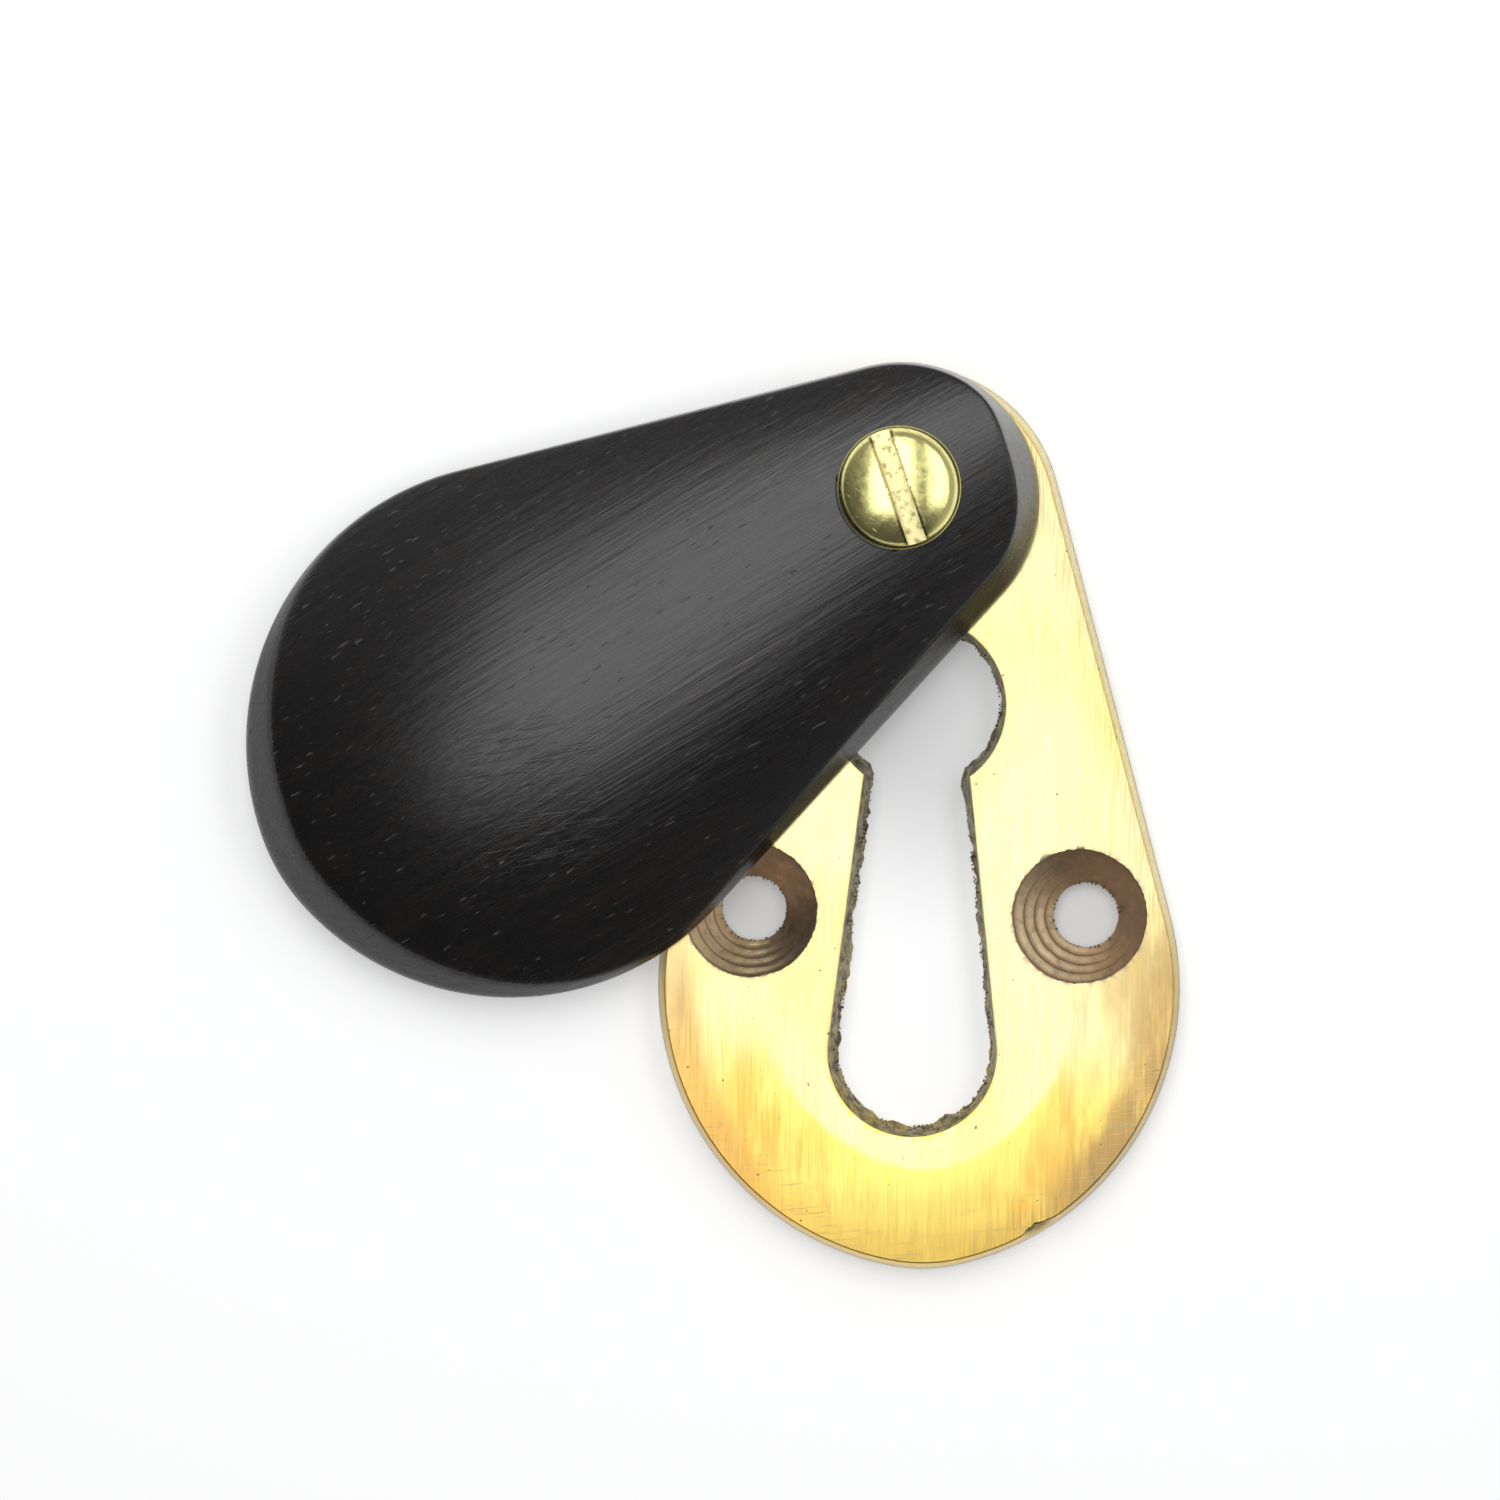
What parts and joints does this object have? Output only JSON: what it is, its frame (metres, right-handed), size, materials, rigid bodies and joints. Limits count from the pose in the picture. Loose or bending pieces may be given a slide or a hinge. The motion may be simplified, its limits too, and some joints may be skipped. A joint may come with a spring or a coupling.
{
  "type": "keyhole escutcheon",
  "caption": "Pear-shaped cast brass keyhole plate with a domed dark wood cover that swings on a slotted brass screw.",
  "frame": {"origin": "midway between the two fixing holes, on the plate's flat back face", "axes": "+X along the two fixing holes, +Y up the keyhole towards the pivot, +Z out of the front of the plate"},
  "size_m": [0.058, 0.0561, 0.0106],
  "materials": {
    "cast_brass": "linished cast brass, unlacquered",
    "ebony": "waxed ebony, open pores, fine sanding marks",
    "turned_brass": "bright turned brass"
  },
  "bodies": {
    "plate": {"back_plate": "cast_brass", "pivot_screw": "turned_brass"},
    "cover": {"swing_cover": "ebony"}
  },
  "joints": [
    {"name": "cover_swing", "type": "hinge", "parent": "plate", "child": "cover", "pos_m": [-0.00109, 0.02608, 0.00575], "axis": [0, 0, 1], "continuous": true}
  ]
}
